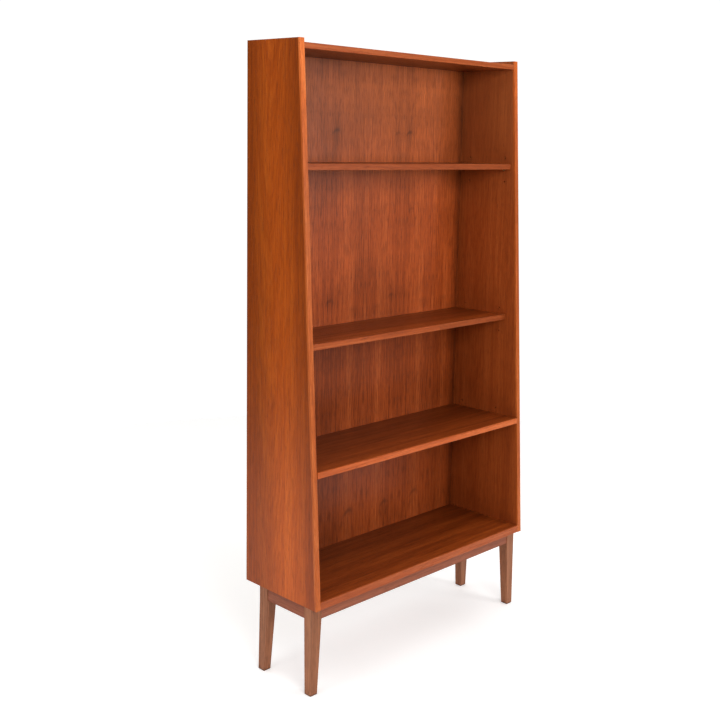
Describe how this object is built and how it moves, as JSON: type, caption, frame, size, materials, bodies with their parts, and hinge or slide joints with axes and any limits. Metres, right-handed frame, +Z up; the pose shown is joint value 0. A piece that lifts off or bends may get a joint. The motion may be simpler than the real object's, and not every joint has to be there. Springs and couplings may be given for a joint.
{
  "type": "bookcase",
  "caption": "Tall open teak bookcase with adjustable shelves on pins, sides that narrow towards the head, and a low frame base with tapered legs; holds books and folders.",
  "frame": {"origin": "on the floor, at the middle of the width and of the greatest depth", "axes": "+X to the right seen from the front, +Y to the rear, +Z up"},
  "size_m": [0.9, 0.294, 1.746],
  "materials": {
    "teak_veneer": "oiled teak veneer, satin, grain up the sides and along the boards",
    "back_veneer": "teak veneered plywood, satin, upright grain",
    "teak_lipping": "solid teak edge strip, lighter, satin",
    "teak_base": "solid teak, browner, satin",
    "pin_brass": "turned, slightly dulled",
    "screw_steel": "zinc plated",
    "dowel_beech": "plain beech, unfinished"
  },
  "bodies": {
    "case": {"left_side_panel": "teak_veneer", "left_side_lipping": "teak_lipping", "right_side_panel": "teak_veneer", "right_side_lipping": "teak_lipping", "top_panel": "teak_veneer", "top_lipping": "teak_lipping", "bottom_panel": "teak_veneer", "bottom_lipping": "teak_lipping", "back_panel": "back_veneer", "front_apron": "teak_base", "rear_apron": "teak_base", "left_apron": "teak_base", "right_apron": "teak_base", "front_left_leg": "teak_base", "front_right_leg": "teak_base", "rear_left_leg": "teak_base", "rear_right_leg": "teak_base", "base_screws": "screw_steel", "case_dowels": "dowel_beech", "back_panel_screws": "screw_steel"},
    "upper_shelf_board": {"upper_shelf": "teak_veneer", "upper_shelf_lipping": "teak_lipping"},
    "upper_left_pin_pair": {"upper_shelf_left_pins": "pin_brass"},
    "upper_right_pin_pair": {"upper_shelf_right_pins": "pin_brass"},
    "middle_shelf_board": {"middle_shelf": "teak_veneer", "middle_shelf_lipping": "teak_lipping"},
    "middle_left_pin_pair": {"middle_shelf_left_pins": "pin_brass"},
    "middle_right_pin_pair": {"middle_shelf_right_pins": "pin_brass"},
    "lower_shelf_board": {"lower_shelf": "teak_veneer", "lower_shelf_lipping": "teak_lipping"},
    "lower_left_pin_pair": {"lower_shelf_left_pins": "pin_brass"},
    "lower_right_pin_pair": {"lower_shelf_right_pins": "pin_brass"}
  },
  "joints": [
    {"name": "upper_shelf_slide", "type": "slide", "parent": "case", "child": "upper_shelf_board", "axis": [0, -1, 0], "range_m": [0, 0.25]},
    {"name": "upper_left_pin_pull", "type": "slide", "parent": "case", "child": "upper_left_pin_pair", "axis": [1, 0, 0], "range_m": [0, 0.01]},
    {"name": "upper_right_pin_pull", "type": "slide", "parent": "case", "child": "upper_right_pin_pair", "axis": [-1, 0, 0], "range_m": [0, 0.01]},
    {"name": "middle_shelf_slide", "type": "slide", "parent": "case", "child": "middle_shelf_board", "axis": [0, -1, 0], "range_m": [0, 0.25]},
    {"name": "middle_left_pin_pull", "type": "slide", "parent": "case", "child": "middle_left_pin_pair", "axis": [1, 0, 0], "range_m": [0, 0.01]},
    {"name": "middle_right_pin_pull", "type": "slide", "parent": "case", "child": "middle_right_pin_pair", "axis": [-1, 0, 0], "range_m": [0, 0.01]},
    {"name": "lower_shelf_slide", "type": "slide", "parent": "case", "child": "lower_shelf_board", "axis": [0, -1, 0], "range_m": [0, 0.29]},
    {"name": "lower_left_pin_pull", "type": "slide", "parent": "case", "child": "lower_left_pin_pair", "axis": [1, 0, 0], "range_m": [0, 0.01]},
    {"name": "lower_right_pin_pull", "type": "slide", "parent": "case", "child": "lower_right_pin_pair", "axis": [-1, 0, 0], "range_m": [0, 0.01]}
  ]
}
